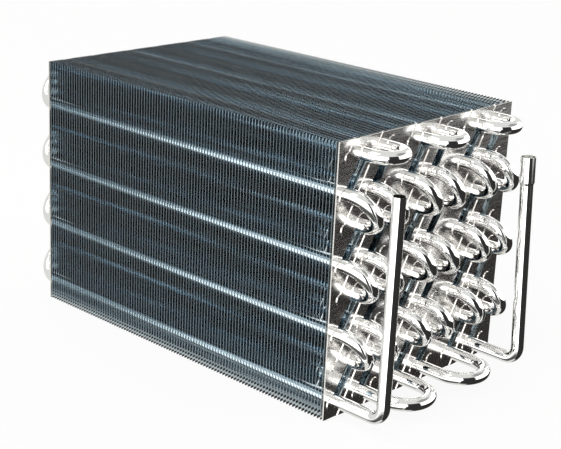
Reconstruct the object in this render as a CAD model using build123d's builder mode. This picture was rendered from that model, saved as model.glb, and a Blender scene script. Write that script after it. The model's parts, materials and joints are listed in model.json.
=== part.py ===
from build123d import *

import os
from math import atan2, degrees, radians, tan

# A finned-tube evaporator coil. X runs along the tubes, Y across the depth of
# the fins and Z up. The origin is the middle of the underside of the fin block.

# Tube pattern: rows are counted from the top, columns from the front (-Y).
row_count = 8
row_pitch = 25.0
section_count = 3  # the fins are three strips deep, with two columns of tubes in each
section_width = 65.2
section_gap = 0.2  # between the fins of neighbouring sections
edge_margin = 11.0  # front edge of a section to its first tube centre
stagger = 16.3  # sideways step from an even row to the odd row above it
tube_od = 9.52
tube_wall = 0.7

# Fins
fin_count = 103  # plain fins in a section, between its end plates
fin_pitch = 2.95
fin_thickness = 0.25
plate_thickness = 1.0

# Slots: one for each hairpin, round at both tubes and narrower than a tube between them.
slot_clearance = 0.05
slot_neck = 8.0

# Forms pressed out of the end plates, towards the near end.
emboss_height = 0.6
collar_radius = 6.3  # a round pad at each end of a slot
collar_overrun = 2.9  # from the centre of a tube to the centre of its collar
bead_end_radius = 4.5
bead_neck = 6.0
bead_rise_rows = 3  # a bead starts level with an odd row and ends three rows higher

# Bends: every straight is measured from the outer face of its end plate.
tube_stub = 3.5  # tube standing out of the near end plates, where a bend is brazed on
far_straight = 8.0
top_straight = 5.6
row_straight = 4.0
bottom_straight = 24.0
joint_chamfer = 0.3  # round the end of each bend and pipe that is brazed on

# Connection pipes: a run out of the bottom row, one elbow and a riser.
inlet_reach = 43.3
outlet_reach = 44.7
elbow_radius = 10.0
inlet_height = 172.0
outlet_height = 170.0
outlet_lean = 3.0  # degrees, towards the fins
socket_length = 21.0
socket_taper = 2.0
socket_clearance = 0.1  # round the pipe that is brazed into the socket

block_length = (fin_count + 1) * fin_pitch
block_depth = section_count * section_width
block_height = row_count * row_pitch
column_count = 2 * section_count
half_length = block_length / 2
joint_x = half_length + tube_stub
tube_radius = tube_od / 2
bore_radius = tube_radius - tube_wall


def tube_y(column: int, row: int) -> float:
    """Depth of a tube: odd rows sit one stagger behind the even rows."""
    section = (column - 1) // 2
    first = edge_margin if column % 2 else section_width - edge_margin - stagger
    behind = stagger if row % 2 else 0.0
    return section * section_width + first + behind - block_depth / 2


def tube_z(row: int) -> float:
    """Height of a row of tubes."""
    return block_height - row_pitch * (row - 0.5)


def tube_at(column: int, row: int, x: float) -> Vector:
    """Centre of a tube on the plane at x."""
    return Vector(x, tube_y(column, row), tube_z(row))


def u_tube(first: Vector, second: Vector, straight: float, direction: int) -> Part:
    """Tube that leaves first along X, turns half round and comes back to second."""
    out = Vector(direction, 0, 0)
    turn_axis = Axis((first + second) / 2 + out * straight, (second - first).cross(out) * -1)
    with BuildPart() as tube:
        for leg_start in (first, second):
            with BuildSketch(Plane(leg_start, z_dir=out)):
                Circle(tube_radius)
            extrude(amount=straight)
        with BuildSketch(Plane(first + out * straight, z_dir=out)):
            Circle(tube_radius)
        revolve(axis=turn_axis, revolution_arc=180)
    return tube.part


def near_rim(tube: Part) -> Edge:
    """Outer edge of the end of a tube that is nearest to the fins."""
    return tube.edges().filter_by(GeomType.CIRCLE).group_by(Axis.X)[0].sort_by(SortBy.RADIUS)[-1]


def return_bend(first: Vector, second: Vector, straight: float) -> Part:
    """Bend out of the near end, chamfered where it is brazed on to both tubes."""
    with BuildPart() as bend:
        add(u_tube(first, second, straight - tube_stub, 1))
        end_edges = bend.edges().filter_by(GeomType.CIRCLE).group_by(Axis.X)[0]
        chamfer(end_edges, length=joint_chamfer)
    return bend.part


def draw_dog_bone(start: Vector, end: Vector, end_radius: float, neck: float) -> None:
    """Draw two round ends joined by a neck in the sketch that is open."""
    along = end - start
    with Locations(start, end):
        Circle(end_radius)
    with Locations((start + end) / 2):
        Rectangle(along.length, neck, rotation=degrees(atan2(along.Y, along.X)))


def section_y(section: int) -> float:
    """Depth of the middle of a section, counted from the front."""
    return (section - (section_count + 1) / 2) * section_width


def end_plate(x: float, section: int) -> Part:
    """Slotted and embossed end plate of a section, with its -X face at x."""
    back = Plane((x, section_y(section), 0), x_dir=(0, 1, 0), z_dir=(1, 0, 0))
    front = back.offset(plate_thickness)
    with BuildPart() as plate:
        with BuildSketch(back):
            add(fin_outline.sketch)
        extrude(amount=plate_thickness)
        with BuildSketch(back):
            add(embossing.sketch)
        extrude(amount=emboss_height, mode=Mode.SUBTRACT)
        with BuildSketch(front):
            add(embossing.sketch)
        extrude(amount=emboss_height)
        with BuildSketch(back):
            add(tube_slots.sketch)
        extrude(amount=plate_thickness + emboss_height, mode=Mode.SUBTRACT)
    return plate.part


def save(piece: Part, name: str) -> None:
    """Label a finished piece and write it as its own STEP file."""
    piece.label = name
    export_step(piece, f"parts/{name}.step")


os.makedirs("parts", exist_ok=True)

# Outlines on a fin of one section, drawn with Y to the right and Z up from the
# middle of its lower edge.
with BuildSketch() as fin_outline:
    with Locations((0, block_height / 2)):
        Rectangle(section_width - section_gap, block_height)

slot_ends = []
for column in (1, 2):
    for row in range(1, row_count, 2):
        upper = Vector(tube_y(column, row) - section_y(1), tube_z(row))
        lower = Vector(tube_y(column, row + 1) - section_y(1), tube_z(row + 1))
        slot_ends.append((lower, upper))

with BuildSketch() as tube_slots:
    for lower, upper in slot_ends:
        draw_dog_bone(lower, upper, tube_radius + slot_clearance, slot_neck)

with BuildSketch() as embossing:
    for lower, upper in slot_ends:
        overrun = (upper - lower).normalized() * collar_overrun
        with Locations(lower - overrun, upper + overrun):
            Circle(collar_radius)
    bead_reach = section_width / 2 - edge_margin
    for row in range(1, row_count + bead_rise_rows + 1, 2):
        bead_foot = Vector(-bead_reach, tube_z(row))
        bead_head = Vector(bead_reach, tube_z(row - bead_rise_rows))
        draw_dog_bone(bead_foot, bead_head, bead_end_radius, bead_neck)
    add(fin_outline.sketch, mode=Mode.INTERSECT)

# Fins: a slotted plate at each end and the plain fins between them.
for section in range(1, section_count + 1):
    save(end_plate(half_length - plate_thickness, section), f"end_plate_near_{section}")
    save(end_plate(-half_length, section), f"end_plate_far_{section}")
    fin_places = [
        (gap * fin_pitch - half_length, section_y(section), block_height / 2)
        for gap in range(1, fin_count + 1)
    ]
    with BuildPart() as fins:
        with Locations(*fin_places):
            Box(fin_thickness, section_width - section_gap, block_height)
    save(fins.part, f"fins_{section}")

# Hairpins: each is bent at the far end and holds an odd row and the row below.
for column in range(1, column_count + 1):
    for row in range(1, row_count, 2):
        hairpin = u_tube(
            tube_at(column, row, joint_x),
            tube_at(column, row + 1, joint_x),
            tube_stub + block_length + far_straight,
            -1,
        )
        save(hairpin, f"hairpin_{column}_{(row + 1) // 2}")

# Return bends brazed on at the near end, between the hairpins of one column.
for column in range(1, column_count + 1):
    for row in range(2, row_count, 2):
        row_bend = return_bend(
            tube_at(column, row, joint_x),
            tube_at(column, row + 1, joint_x),
            row_straight,
        )
        save(row_bend, f"row_bend_{column}_{row // 2}")

# Return bends from column to column: the top row pairs 1-2, 3-4 and 5-6.
for column in range(1, column_count, 2):
    top_bend = return_bend(
        tube_at(column, 1, joint_x),
        tube_at(column + 1, 1, joint_x),
        top_straight,
    )
    save(top_bend, f"top_bend_{column}")

# The bottom row pairs 2-3 and 4-5 with long bends.
for column in range(2, column_count, 2):
    bottom_bend = return_bend(
        tube_at(column, row_count, joint_x),
        tube_at(column + 1, row_count, joint_x),
        bottom_straight,
    )
    save(bottom_bend, f"bottom_bend_{column}")

# Inlet pipe: out of column 1, with a plain open end.
inlet_y = tube_y(1, row_count)
pipe_z = tube_z(row_count)
with BuildPart() as inlet_pipe:
    with BuildLine(Plane.XZ.offset(-inlet_y)) as inlet_route:
        FilletPolyline(
            (joint_x, pipe_z),
            (half_length + inlet_reach, pipe_z),
            (half_length + inlet_reach, inlet_height),
            radius=elbow_radius,
        )
    with BuildSketch(Plane(tube_at(1, row_count, joint_x), z_dir=(1, 0, 0))):
        Circle(tube_radius)
        Circle(bore_radius, mode=Mode.SUBTRACT)
    sweep(path=inlet_route.wire())
    chamfer(near_rim(inlet_pipe.part), length=joint_chamfer)
save(inlet_pipe.part, "inlet_pipe")

# Outlet pipe: out of the last column, leaning in a little, with its end opened
# out into a socket.
outlet_y = tube_y(column_count, row_count)
socket_bore = tube_radius + socket_clearance
socket_top = outlet_height
socket_foot = socket_top - socket_length
lean = tan(radians(outlet_lean))
foot_x = half_length + outlet_reach - lean * (socket_foot - pipe_z)
with BuildPart() as outlet_pipe:
    with BuildLine(Plane.XZ.offset(-outlet_y)) as outlet_route:
        FilletPolyline(
            (joint_x, pipe_z),
            (half_length + outlet_reach, pipe_z),
            (foot_x, socket_foot),
            radius=elbow_radius,
        )
    with BuildSketch(Plane(tube_at(column_count, row_count, joint_x), z_dir=(1, 0, 0))):
        Circle(tube_radius)
        Circle(bore_radius, mode=Mode.SUBTRACT)
    outlet_wire = outlet_route.wire()
    sweep(path=outlet_wire)
    chamfer(near_rim(outlet_pipe.part), length=joint_chamfer)
    riser = Axis(outlet_wire @ 1, outlet_wire % 1)
    across = Vector(0, 1, 0)
    with BuildSketch(Plane(riser.position, x_dir=across, z_dir=across.cross(riser.direction))):
        with BuildLine():
            Polyline(
                (bore_radius, 0),
                (tube_radius, 0),
                (socket_bore + tube_wall, socket_taper),
                (socket_bore + tube_wall, socket_length),
                (socket_bore, socket_length),
                (socket_bore, socket_taper),
                close=True,
            )
        make_face()
    revolve(axis=riser)
save(outlet_pipe.part, "outlet_pipe")
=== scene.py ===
"""Studio scene of a finned-tube evaporator coil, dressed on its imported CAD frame.

The CAD model brings the tubes, the two connection pipes and the end plates. This
script adds the slotted and beaded inner fins, gives every surface its finish and
sets up the studio. Lengths are in metres, with X along the tubes, Y through the
depth of the fins and Z up.
"""

import json
import logging
import math
from dataclasses import dataclass
from enum import Enum

import bpy
from mathutils import Euler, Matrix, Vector
from mathutils.geometry import delaunay_2d_cdt

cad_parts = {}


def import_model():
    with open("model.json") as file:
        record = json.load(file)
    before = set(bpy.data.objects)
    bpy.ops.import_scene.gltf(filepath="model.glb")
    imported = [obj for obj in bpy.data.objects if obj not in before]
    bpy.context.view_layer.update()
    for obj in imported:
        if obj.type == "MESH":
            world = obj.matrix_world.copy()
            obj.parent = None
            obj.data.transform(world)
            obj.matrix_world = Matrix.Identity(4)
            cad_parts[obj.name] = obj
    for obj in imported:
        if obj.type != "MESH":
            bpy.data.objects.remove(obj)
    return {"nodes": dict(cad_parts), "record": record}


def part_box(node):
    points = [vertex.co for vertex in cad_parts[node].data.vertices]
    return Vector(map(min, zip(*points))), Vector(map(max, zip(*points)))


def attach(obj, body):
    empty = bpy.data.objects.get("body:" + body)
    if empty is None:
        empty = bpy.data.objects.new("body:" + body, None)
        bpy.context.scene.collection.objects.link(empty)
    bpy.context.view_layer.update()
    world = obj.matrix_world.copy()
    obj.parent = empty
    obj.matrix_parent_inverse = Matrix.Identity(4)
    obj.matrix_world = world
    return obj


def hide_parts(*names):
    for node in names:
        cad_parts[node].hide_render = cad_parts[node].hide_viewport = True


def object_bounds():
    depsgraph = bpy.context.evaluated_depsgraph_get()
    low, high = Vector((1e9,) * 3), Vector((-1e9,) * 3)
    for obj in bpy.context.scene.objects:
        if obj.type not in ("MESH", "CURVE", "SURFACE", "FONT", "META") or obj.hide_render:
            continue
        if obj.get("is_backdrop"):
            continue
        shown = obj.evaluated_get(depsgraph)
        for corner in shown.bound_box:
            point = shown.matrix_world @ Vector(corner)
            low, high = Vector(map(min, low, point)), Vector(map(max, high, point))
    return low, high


LOG = logging.getLogger("coil")
SECTIONS = (1, 2, 3)
MM = 0.001
Triple = tuple[float, float, float]


# ------------------------------------------------------------------ materials


class NodeTree:
    """Short calls for building a shader tree.

    Attributes:
        MIX_COLOURS: where a Mix node takes its two colours.
        MIX_RESULT: where a Mix node gives the mixed colour.
    """

    MIX_COLOURS = (6, 7)
    MIX_RESULT = 2

    def __init__(self, tree: bpy.types.NodeTree) -> None:
        """Wraps an existing tree.

        Args:
            tree: node tree of a material, a world or a group.
        """
        self.tree = tree

    def add(self, kind: str, **settings: object) -> bpy.types.Node:
        """Adds a node.

        Args:
            kind: node type, without its ShaderNode prefix.
            **settings: attributes set on the node.

        Returns:
            The new node.
        """
        node = self.tree.nodes.new(f"ShaderNode{kind}")
        for name, value in settings.items():
            setattr(node, name, value)
        return node

    def feed(self, socket: bpy.types.NodeSocket, source: object) -> None:
        """Links a socket to another, or sets its value.

        Args:
            socket: input to fill.
            source: output socket, number or colour.
        """
        if isinstance(source, bpy.types.NodeSocket):
            self.tree.links.new(source, socket)
        else:
            socket.default_value = source

    def maths(self, operation: str, *values: object) -> bpy.types.NodeSocket:
        """Adds a Math node.

        Args:
            operation: what it works out.
            *values: its inputs, in order.

        Returns:
            Its output.
        """
        node = self.add("Math", operation=operation)
        for socket, value in zip(node.inputs, values):
            self.feed(socket, value)
        return node.outputs[0]

    def remap(
        self, value: object, low: float, high: float, to_low: float, to_high: float
    ) -> bpy.types.NodeSocket:
        """Maps a range smoothly and clamped onto another.

        Args:
            value: number to map.
            low: value that gives to_low.
            high: value that gives to_high.
            to_low: result at low.
            to_high: result at high.

        Returns:
            The mapped number.
        """
        node = self.add("MapRange", interpolation_type="SMOOTHSTEP")
        for socket, number in zip(node.inputs, (value, low, high, to_low, to_high)):
            self.feed(socket, number)
        return node.outputs[0]

    def blend(self, factor: object, first: object, second: object) -> bpy.types.NodeSocket:
        """Mixes two colours.

        Args:
            factor: share of the second colour.
            first: colour at factor 0.
            second: colour at factor 1.

        Returns:
            The mixed colour.
        """
        node = self.add("Mix", data_type="RGBA")
        self.feed(node.inputs["Factor"], factor)
        for place, colour in zip(self.MIX_COLOURS, (first, second)):
            self.feed(node.inputs[place], (*colour, 1.0) if isinstance(colour, tuple) else colour)
        return node.outputs[self.MIX_RESULT]


def rolled_grain_group(detail: float = 4.0) -> bpy.types.NodeTree:
    """Builds the shared group for the fine streaks of rolled or drawn metal.

    Args:
        detail: how many finer layers of streaks lie over the first.

    Returns:
        Group with a Stretch and a Scale input and a Streaks output from 0 to 1.
    """
    group = bpy.data.node_groups.new("rolled_grain", "ShaderNodeTree")
    group.interface.new_socket("Stretch", in_out="INPUT", socket_type="NodeSocketVector")
    group.interface.new_socket("Scale", in_out="INPUT", socket_type="NodeSocketFloat")
    group.interface.new_socket("Streaks", in_out="OUTPUT", socket_type="NodeSocketFloat")
    nodes = NodeTree(group)
    given = group.nodes.new("NodeGroupInput")
    result = group.nodes.new("NodeGroupOutput")
    stretched = nodes.add("VectorMath", operation="MULTIPLY")
    nodes.feed(stretched.inputs[0], nodes.add("TexCoord").outputs["Object"])
    nodes.feed(stretched.inputs[1], given.outputs["Stretch"])
    noise = nodes.add("TexNoise")
    nodes.feed(noise.inputs["Vector"], stretched.outputs[0])
    nodes.feed(noise.inputs["Scale"], given.outputs["Scale"])
    nodes.feed(noise.inputs["Detail"], detail)
    nodes.feed(result.inputs["Streaks"], noise.outputs["Fac"])
    return group


@dataclass(frozen=True)
class MetalFinish:
    """Bright metal with fine streaks.

    Attributes:
        name: name of the material.
        light: colour of the lightest streaks.
        dark: colour of the darkest streaks.
        metallic: share of the surface that reflects as metal.
        smoothest: roughness of the smoothest streaks.
        roughest: roughness of the roughest streaks.
        stretch: how tightly the streaks follow each other along X, Y and Z.
        scale: streaks per metre before they are stretched.
        relief: height of the streaks.
        dull_from: streak value where the roughness starts to rise.
        dull_to: streak value where the surface is roughest.
    """

    name: str
    light: Triple
    dark: Triple
    metallic: float
    smoothest: float
    roughest: float
    stretch: Triple
    scale: float
    relief: float
    dull_from: float = 0.35
    dull_to: float = 0.65

    def build(self, grain: bpy.types.NodeTree) -> bpy.types.Material:
        """Builds the material.

        Args:
            grain: the shared group of streaks.

        Returns:
            The material.
        """
        material = bpy.data.materials.new(self.name)
        material.use_nodes = True
        nodes = NodeTree(material.node_tree)
        shader = material.node_tree.nodes["Principled BSDF"]
        streaks = nodes.add("Group")
        streaks.node_tree = grain
        streaks.inputs["Stretch"].default_value = self.stretch
        streaks.inputs["Scale"].default_value = self.scale
        factor = streaks.outputs["Streaks"]
        nodes.feed(shader.inputs["Base Color"], nodes.blend(factor, self.dark, self.light))
        shader.inputs["Metallic"].default_value = self.metallic
        roughness = nodes.remap(factor, self.dull_from, self.dull_to, self.smoothest, self.roughest)
        nodes.feed(shader.inputs["Roughness"], roughness)
        bump = nodes.add("Bump")
        nodes.feed(bump.inputs["Height"], factor)
        bump.inputs["Strength"].default_value = 1.0
        bump.inputs["Distance"].default_value = self.relief
        nodes.feed(shader.inputs["Normal"], bump.outputs["Normal"])
        return material


class Finish(Enum):
    """Finishes of the coil, named for the record's slots, and one for the cut edges of the fins."""

    FIN_FOIL = MetalFinish(
        name="fin_foil",
        light=(0.782, 0.823, 0.844),
        dark=(0.732, 0.776, 0.803),
        metallic=0.99,
        smoothest=0.02,
        roughest=0.04,
        stretch=(1.0, 1.0, 30.0),
        scale=60.0,
        relief=0.000001,
    )
    FIN_EDGE = MetalFinish(
        name="fin_edge",
        light=(0.67, 0.765, 0.825),
        dark=(0.60, 0.70, 0.77),
        metallic=1.0,
        smoothest=0.05,
        roughest=0.1,
        stretch=(1.0, 1.0, 30.0),
        scale=60.0,
        relief=0.000001,
    )
    PLATE = MetalFinish(
        name="plate",
        light=(0.93, 0.91, 0.89),
        dark=(0.86, 0.84, 0.82),
        metallic=1.0,
        smoothest=0.14,
        roughest=0.2,
        stretch=(1.0, 1.0, 30.0),
        scale=60.0,
        relief=0.000004,
    )
    TUBE = MetalFinish(
        name="tube",
        light=(0.97, 0.97, 0.965),
        dark=(0.92, 0.92, 0.915),
        metallic=1.0,
        smoothest=0.02,
        roughest=0.06,
        stretch=(1.0, 8.0, 8.0),
        scale=90.0,
        relief=0.000003,
    )
    PIPE = MetalFinish(
        name="pipe",
        light=(0.97, 0.97, 0.965),
        dark=(0.91, 0.91, 0.905),
        metallic=1.0,
        smoothest=0.03,
        roughest=0.08,
        stretch=(8.0, 8.0, 1.0),
        scale=90.0,
        relief=0.000003,
    )


# ----------------------------------------------------------------------- fins


@dataclass(frozen=True)
class Disc:
    """Round form pressed into a fin.

    Attributes:
        centre: its centre, as (Y, Z).
        radius: its radius.
        steps: straight stretches in its outline.
    """

    centre: Vector
    radius: float
    steps: int = 16

    def outline(self) -> list[Vector]:
        """Works out its outline.

        Returns:
            The corners of its outline, counter-clockwise.
        """
        turns = [math.tau * step / self.steps for step in range(self.steps)]
        return [self.centre + Vector((math.cos(turn), math.sin(turn))) * self.radius for turn in turns]

    def shrunk(self, wall: float) -> "Disc":
        """Moves the outline inwards.

        Args:
            wall: how far it moves.

        Returns:
            The smaller outline.
        """
        return Disc(self.centre, self.radius - wall, self.steps)

    def holds(self, point: Vector) -> bool:
        """Says whether a point lies inside.

        Args:
            point: point to test, as (Y, Z).

        Returns:
            True inside the disc.
        """
        return (point - self.centre).length < self.radius


@dataclass(frozen=True)
class DogBone:
    """Two round ends joined by a narrower neck, drawn in the plane of a fin.

    Attributes:
        foot: centre of the lower end, as (Y, Z).
        head: centre of the upper end, as (Y, Z).
        end_radius: radius of both ends.
        neck: width between them.
        steps: straight stretches in the arc of one end.
    """

    foot: Vector
    head: Vector
    end_radius: float
    neck: float
    steps: int = 9

    def outline(self) -> list[Vector]:
        """Works out its outline.

        Returns:
            The corners of its outline, counter-clockwise.
        """
        along = math.atan2(self.head.y - self.foot.y, self.head.x - self.foot.x)
        half_neck = math.asin(self.neck / 2 / self.end_radius)
        sweep = 2 * (math.pi - half_neck)
        corners = []
        for centre, away in ((self.head, along), (self.foot, along + math.pi)):
            for step in range(self.steps + 1):
                angle = away - sweep / 2 + sweep * step / self.steps
                spoke = Vector((math.cos(angle), math.sin(angle)))
                corners.append(centre + spoke * self.end_radius)
        return corners

    def shrunk(self, wall: float) -> "DogBone":
        """Moves the outline inwards.

        Args:
            wall: how far it moves.

        Returns:
            The smaller outline.
        """
        return DogBone(self.foot, self.head, self.end_radius - wall, self.neck - 2 * wall, self.steps)

    def holds(self, point: Vector) -> bool:
        """Says whether a point lies inside.

        Args:
            point: point to test, as (Y, Z).

        Returns:
            True inside the ends or the neck.
        """
        spine = self.head - self.foot
        share = (point - self.foot).dot(spine) / spine.length_squared
        nearest = self.foot + spine * min(max(share, 0.0), 1.0)
        ends = min((point - self.foot).length, (point - self.head).length)
        return ends < self.end_radius or (point - nearest).length < self.neck / 2


def clipped(corners: list[Vector], level: float, keep_above: bool) -> list[Vector]:
    """Cuts an outline along a level line.

    Args:
        corners: corners of the outline, as (Y, Z).
        level: height of the cut.
        keep_above: whether the part above the cut is kept.

    Returns:
        The corners of what is left.
    """
    side = 1.0 if keep_above else -1.0
    left = []
    for start, end in zip(corners, corners[1:] + corners[:1]):
        from_start = (start.y - level) * side
        from_end = (end.y - level) * side
        if from_start >= 0:
            left.append(start)
        if from_start * from_end < 0:
            left.append(start.lerp(end, from_start / (from_start - from_end)))
    return left


@dataclass(frozen=True)
class FinSizes:
    """Sizes that the frame's boxes don't give.

    Attributes:
        count: fins between the end plates.
        thickness: thickness of the foil.
        slot_clearance: gap between a tube and its slot.
        slot_neck: width of a slot between its tubes.
        collar_radius: radius of the round pad at each end of a slot.
        collar_overrun: centre of a tube to the centre of its collar.
        bead_end_radius: radius of the round ends of a stiffening bead.
        bead_neck: width of a bead between its ends.
        bead_rise_rows: rows from the foot of a bead to its head.
        emboss_height: how far beads and collars stand out of the fin.
        emboss_slope: width of the slope at their edges.
        top_share: share of that slope past which a point counts as on top.
        levels: hairpins in a column.
    """

    count: int = 103
    thickness: float = 0.00025
    slot_clearance: float = 0.00005
    slot_neck: float = 0.008
    collar_radius: float = 0.0063
    collar_overrun: float = 0.0029
    bead_end_radius: float = 0.0045
    bead_neck: float = 0.006
    bead_rise_rows: int = 3
    emboss_height: float = 0.00015
    emboss_slope: float = 0.0012
    top_share: float = 0.9
    levels: int = 4


class FinSection:
    """The inner fins of one section, which share one mesh.

    Attributes:
        WELD: corners nearer than this become one.
    """

    WELD = 1e-6

    def __init__(self, number: int, tube_radius: float, sizes: FinSizes) -> None:
        """Reads the section's place from the frame.

        Args:
            number: section, counted from the front.
            tube_radius: outer radius of the tubes.
            sizes: sizes of the fins.
        """
        self.number = number
        self.sizes = sizes
        self.low, self.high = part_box(f"fins_{number}")
        self.slots: list[DogBone] = []
        self.embossing: list[Disc | DogBone] = []
        self.columns = (2 * number - 1, 2 * number)
        inset = Vector((tube_radius, tube_radius))
        for column in self.columns:
            for level in range(1, sizes.levels + 1):
                low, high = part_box(f"hairpin_{column}_{level}")
                lower = Vector((low[1], low[2])) + inset
                upper = Vector((high[1], high[2])) - inset
                overrun = (upper - lower).normalized() * sizes.collar_overrun
                slot_radius = tube_radius + sizes.slot_clearance
                self.slots.append(DogBone(lower, upper, slot_radius, sizes.slot_neck))
                self.embossing.append(Disc(lower - overrun, sizes.collar_radius))
                self.embossing.append(Disc(upper + overrun, sizes.collar_radius))
        self.embossing += self._beads(inset)

    def _beads(self, inset: Vector) -> list[DogBone]:
        """Places the beads between the two columns.

        Args:
            inset: corner of a hairpin's box to the centre of its tube.

        Returns:
            The beads, some of which run off the fin.
        """
        front_low, front_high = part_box(f"hairpin_{self.columns[0]}_1")
        _, back_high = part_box(f"hairpin_{self.columns[1]}_1")
        foot_y = front_low[1] + inset.x
        head_y = back_high[1] - inset.x
        top_row_z = front_high[2] - inset.y
        row_pitch = top_row_z - (front_low[2] + inset.y)
        beads = []
        for pair in range(self.sizes.levels + 2):
            foot_z = top_row_z - 2 * pair * row_pitch
            head_z = foot_z + self.sizes.bead_rise_rows * row_pitch
            beads.append(
                DogBone(
                    Vector((foot_y, foot_z)),
                    Vector((head_y, head_z)),
                    self.sizes.bead_end_radius,
                    self.sizes.bead_neck,
                )
            )
        return beads

    def _flat_pattern(self) -> tuple[list[Vector], list[list[int]]]:
        """Divides the outline of a fin into triangles round its slots and embossing.

        Returns:
            The corners, as (Y, Z), and the triangles between them.
        """
        low_y, high_y = self.low[1], self.high[1]
        low_z, high_z = self.low[2], self.high[2]
        rim = [(low_y, low_z), (high_y, low_z), (high_y, high_z), (low_y, high_z)]
        outlines = [[Vector(corner) for corner in rim]]
        outlines += [slot.outline() for slot in self.slots]
        for form in self.embossing:
            for shape in (form, form.shrunk(self.sizes.emboss_slope)):
                cut = clipped(clipped(shape.outline(), high_z, False), low_z, True)
                if len(cut) > 2:
                    outlines.append(cut)
        corners = [corner for outline in outlines for corner in outline]
        edges = []
        start = 0
        for outline in outlines:
            count = len(outline)
            edges += [(start + i, start + (i + 1) % count) for i in range(count)]
            start += count
        points, _, faces, _, _, _ = delaunay_2d_cdt(corners, edges, [], 0, self.WELD)
        kept = []
        for face in faces:
            middle = sum((points[i] for i in face), Vector((0.0, 0.0))) / len(face)
            if not any(slot.holds(middle) for slot in self.slots):
                kept.append(list(face))
        return points, kept

    @staticmethod
    def _rims(faces: list[list[int]]) -> list[tuple[int, int]]:
        """Finds the edges of the outline and of the slots, which only one face has.

        Args:
            faces: corners of each face, by number.

        Returns:
            The two corners of each such edge, in the direction of its face.
        """
        rims: dict[tuple[int, int], None] = {}
        for face in faces:
            for start, end in zip(face, face[1:] + face[:1]):
                if (end, start) in rims:
                    del rims[(end, start)]
                else:
                    rims[(start, end)] = None
        return list(rims)

    def mesh(self) -> bpy.types.Mesh:
        """Builds a fin with its middle plane at X 0.

        Returns:
            The mesh, as a closed sheet.
        """
        points, faces = self._flat_pattern()
        inset = self.sizes.emboss_slope * self.sizes.top_share
        tops = [form.shrunk(inset) for form in self.embossing]
        half = self.sizes.thickness / 2
        front = []
        for point in points:
            raised = self.sizes.emboss_height if any(top.holds(point) for top in tops) else 0.0
            front.append((raised + half, point.x, point.y))
        back = [(x - 2 * half, y, z) for x, y, z in front]
        count = len(points)
        shell = [tuple(face) for face in faces]
        shell += [tuple(count + i for i in reversed(face)) for face in faces]
        shell += [(end, start, start + count, end + count) for start, end in self._rims(faces)]
        mesh = bpy.data.meshes.new(f"fin_of_section_{self.number}")
        mesh.from_pydata(front + back, [], shell)
        for polygon in mesh.polygons[2 * len(faces) :]:
            polygon.material_index = 1
        mesh.validate()
        return mesh

    def build(self, foil: bpy.types.Material, edge: bpy.types.Material) -> None:
        """Hangs the fins between the end plates.

        Args:
            foil: finish of the sheets.
            edge: finish of their cut edges.
        """
        mesh = self.mesh()
        mesh.materials.append(foil)
        mesh.materials.append(edge)
        half = self.sizes.thickness / 2
        first = self.low[0] + half
        pitch = (self.high[0] - half - first) / (self.sizes.count - 1)
        for index in range(self.sizes.count):
            fin = bpy.data.objects.new(f"fin_{self.number}_{index + 1}", mesh)
            fin.location.x = first + index * pitch
            bpy.context.scene.collection.objects.link(fin)
            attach(fin, "root")
            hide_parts(f"fins_{self.number}")
        faces = len(mesh.polygons)
        LOG.info("section %d: %d fins of %d faces", self.number, self.sizes.count, faces)


# --------------------------------------------------------------------- studio


@dataclass(frozen=True)
class Viewpoint:
    """Where the camera stands.

    Attributes:
        place: position of the lens.
        turn: rotation about X, Y and Z, in degrees.
        lens: focal length in millimetres.
        sensor: width of the sensor in millimetres.
        nearest: distance from which things show.
    """

    place: Triple = (0.7129, -0.7574, 0.4283)
    turn: Triple = (71.659, -2.595, 43.546)
    lens: float = 88.35
    sensor: float = 36.0
    nearest: float = 0.01


@dataclass(frozen=True)
class SoftLamp:
    """Square lamp above the front.

    Attributes:
        place: its middle.
        target: where it points.
        size: length of its sides.
        watts: its power.
    """

    place: Triple = (-0.5, -1.0, 1.6)
    target: Triple = (0.0, 0.0, 0.1)
    size: float = 1.2
    watts: float = 8.0


@dataclass(frozen=True)
class Card:
    """Bright or dark area of the surroundings, bounded by directions in degrees.

    Attributes:
        name: what it stands for.
        azimuth: direction of its middle, from +X towards +Y.
        reach: how far it reaches to either side.
        low: its lower edge above the horizon.
        high: its upper edge above the horizon.
        fade: width of its soft edges.
        colour: its brightness.
    """

    name: str
    azimuth: float
    reach: float
    low: float
    high: float
    fade: float
    colour: Triple

    def cover(
        self, nodes: NodeTree, compass: bpy.types.NodeSocket, height: bpy.types.NodeSocket
    ) -> bpy.types.NodeSocket:
        """Works out how much of the card lies in a direction.

        Args:
            nodes: the world's tree.
            compass: level part of the direction, of length 1.
            height: upright part of the direction.

        Returns:
            0 outside the card, 1 inside it and between them in its soft edges.
        """
        turn = math.radians(self.azimuth)
        towards = nodes.add("VectorMath", operation="DOT_PRODUCT")
        nodes.feed(towards.inputs[0], compass)
        towards.inputs[1].default_value = (math.cos(turn), math.sin(turn), 0.0)
        outer = math.cos(math.radians(self.reach + self.fade))
        inner = math.cos(math.radians(self.reach))
        foot = math.sin(math.radians(self.low - self.fade))
        low = math.sin(math.radians(self.low))
        high = math.sin(math.radians(self.high))
        head = math.sin(math.radians(self.high + self.fade))
        across = nodes.remap(towards.outputs["Value"], outer, inner, 0.0, 1.0)
        above = nodes.remap(height, foot, low, 0.0, 1.0)
        below = nodes.remap(height, high, head, 1.0, 0.0)
        return nodes.maths("MULTIPLY", across, nodes.maths("MULTIPLY", above, below))


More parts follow.
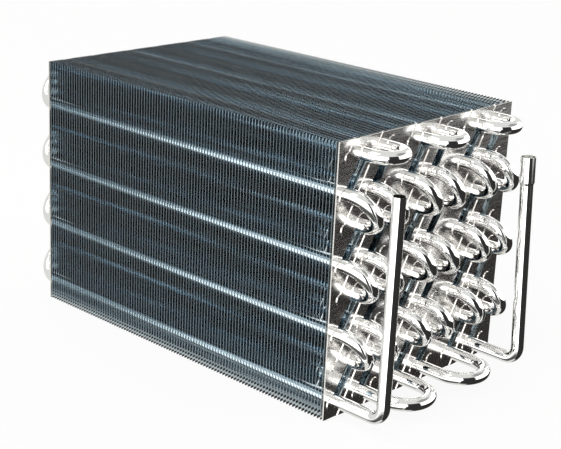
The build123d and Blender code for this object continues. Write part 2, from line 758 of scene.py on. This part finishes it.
class Studio:
    """Camera, floor, lamp and surroundings.

    Attributes:
        BOUNCES: reflections followed, enough to see deep between the fins.
        FLOOR_REACH: reach of the floor, in diagonals of the coil.
        FLOOR_COLOUR: colour of the floor.
        FLOOR_ROUGHNESS: roughness of the floor.
        GLOW_SHARE: share of glow in the floor that the camera sees.
        WHITE: background that the camera sees.
        ROOM: surroundings between the cards.
        CARDS: cards round the coil, each laid over the ones before it.
    """

    BOUNCES = 24
    FLOOR_REACH = 30
    FLOOR_COLOUR = (0.9, 0.9, 0.9, 1.0)
    FLOOR_ROUGHNESS = 0.8
    GLOW_SHARE = 0.9
    WHITE: Triple = (1.0, 1.0, 1.0)
    ROOM: Triple = (0.74, 0.745, 0.72)
    CARDS = (
        Card("left softbox", azimuth=-80, reach=42, low=-24, high=26, fade=8, colour=(2.6, 2.6, 2.57)),
        Card("right softbox", azimuth=56, reach=40, low=-40, high=26, fade=8, colour=(2.2, 2.2, 2.17)),
        Card("high flag", azimuth=48, reach=24, low=38, high=54, fade=10, colour=(0.33, 0.33, 0.32)),
        Card("front floor", azimuth=-95, reach=45, low=-70, high=-44, fade=10, colour=(0.09, 0.09, 0.085)),
        Card("right floor", azimuth=34, reach=72, low=-70, high=-12, fade=5, colour=(0.03, 0.028, 0.026)),
        Card("dark strip", azimuth=-11, reach=18, low=-70, high=30, fade=10, colour=(0.03, 0.03, 0.031)),
    )

    def __init__(self, low: Vector, high: Vector) -> None:
        """Takes the size of the coil.

        Args:
            low: lowest corner of its box.
            high: highest corner of its box.
        """
        self.low = low
        self.high = high
        self.scene = bpy.context.scene

    def build(self) -> None:
        """Sets up the whole studio."""
        self._camera(Viewpoint())
        self._floor()
        self._lamp(SoftLamp())
        self._world()
        self.scene.view_settings.view_transform = "Standard"
        self.scene.cycles.max_bounces = self.BOUNCES
        self.scene.cycles.glossy_bounces = self.BOUNCES

    def _camera(self, view: Viewpoint) -> None:
        """Places the camera.

        Args:
            view: where it stands.
        """
        data = bpy.data.cameras.new("camera")
        data.sensor_width = view.sensor
        data.lens = view.lens
        data.clip_start = view.nearest
        camera = bpy.data.objects.new("camera", data)
        camera.location = view.place
        camera.rotation_euler = Euler([math.radians(angle) for angle in view.turn])
        self.scene.collection.objects.link(camera)
        self.scene.camera = camera

    def _floor(self) -> None:
        """Lays a pale floor, which shows nearly white to the camera, with a faint shadow."""
        reach = (self.high - self.low).length * self.FLOOR_REACH
        mesh = bpy.data.meshes.new("floor")
        corners = [(-reach, -reach, 0), (reach, -reach, 0), (reach, reach, 0), (-reach, reach, 0)]
        mesh.from_pydata(corners, [], [(0, 1, 2, 3)])
        floor = bpy.data.objects.new("floor", mesh)
        floor.location.z = self.low.z
        floor.visible_glossy = False
        material = bpy.data.materials.new("floor")
        material.use_nodes = True
        nodes = NodeTree(material.node_tree)
        shader = material.node_tree.nodes["Principled BSDF"]
        shader.inputs["Base Color"].default_value = self.FLOOR_COLOUR
        shader.inputs["Roughness"].default_value = self.FLOOR_ROUGHNESS
        glow = nodes.add("Emission")
        mix = nodes.add("MixShader")
        from_camera = nodes.add("LightPath").outputs["Is Camera Ray"]
        nodes.feed(mix.inputs[0], nodes.maths("MULTIPLY", from_camera, self.GLOW_SHARE))
        nodes.feed(mix.inputs[1], shader.outputs[0])
        nodes.feed(mix.inputs[2], glow.outputs[0])
        nodes.feed(material.node_tree.nodes["Material Output"].inputs["Surface"], mix.outputs[0])
        mesh.materials.append(material)
        self.scene.collection.objects.link(floor)
        floor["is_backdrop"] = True

    def _lamp(self, soft: SoftLamp) -> None:
        """Hangs the lamp.

        Args:
            soft: the lamp to hang.
        """
        data = bpy.data.lights.new("key", "AREA")
        data.size = soft.size
        data.energy = soft.watts
        lamp = bpy.data.objects.new("key", data)
        lamp.location = soft.place
        aim = Vector(soft.target) - lamp.location
        lamp.rotation_euler = aim.to_track_quat("-Z", "Y").to_euler()
        self.scene.collection.objects.link(lamp)

    def _world(self) -> None:
        """Surrounds the coil with the cards that its metal mirrors, but with white for the camera."""
        world = bpy.data.worlds.new("studio")
        self.scene.world = world
        world.use_nodes = True
        nodes = NodeTree(world.node_tree)
        direction = nodes.add("SeparateXYZ")
        nodes.feed(direction.inputs[0], nodes.add("TexCoord").outputs["Generated"])
        flat = nodes.add("CombineXYZ")
        nodes.feed(flat.inputs["X"], direction.outputs["X"])
        nodes.feed(flat.inputs["Y"], direction.outputs["Y"])
        compass = nodes.add("VectorMath", operation="NORMALIZE")
        nodes.feed(compass.inputs[0], flat.outputs[0])
        surroundings = self.ROOM
        for card in self.CARDS:
            cover = card.cover(nodes, compass.outputs[0], direction.outputs["Z"])
            surroundings = nodes.blend(cover, surroundings, card.colour)
            LOG.info("card: %s", card.name)
        from_camera = nodes.add("LightPath").outputs["Is Camera Ray"]
        seen = nodes.blend(from_camera, surroundings, self.WHITE)
        nodes.feed(world.node_tree.nodes["Background"].inputs["Color"], seen)


# ----------------------------------------------------------------------- main


def dress_cad(frame: dict, materials: dict[str, bpy.types.Material]) -> None:
    """Gives each CAD node that stays the finish of its slot.

    Args:
        materials: the materials, by the record's slot.
    """
    slots = {part["node"]: part["material_slot"] for part in frame["record"]["subparts"]}
    for name, piece in frame["nodes"].items():
        for index in range(len(piece.material_slots)):
            piece.material_slots[index].material = materials[slots[name]]
        LOG.info("%s: %s", name, slots[name])


def main() -> None:
    """Builds the scene in order."""
    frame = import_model()
    cad_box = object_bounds()
    grain = rolled_grain_group()
    materials = {finish.value.name: finish.value.build(grain) for finish in Finish}
    dress_cad(frame, materials)
    mounts = {mount["name"]: mount for mount in frame["record"]["mounts"]}
    tube_radius = mounts["inlet_end"]["dims"]["r_mm"] * MM
    for number in SECTIONS:
        section = FinSection(number, tube_radius, FinSizes())
        section.build(materials["fin_foil"], materials["fin_edge"])
    Studio(*cad_box).build()


if __name__ == "__main__":
    logging.basicConfig(level=logging.INFO, format="%(name)s: %(message)s")
    main()
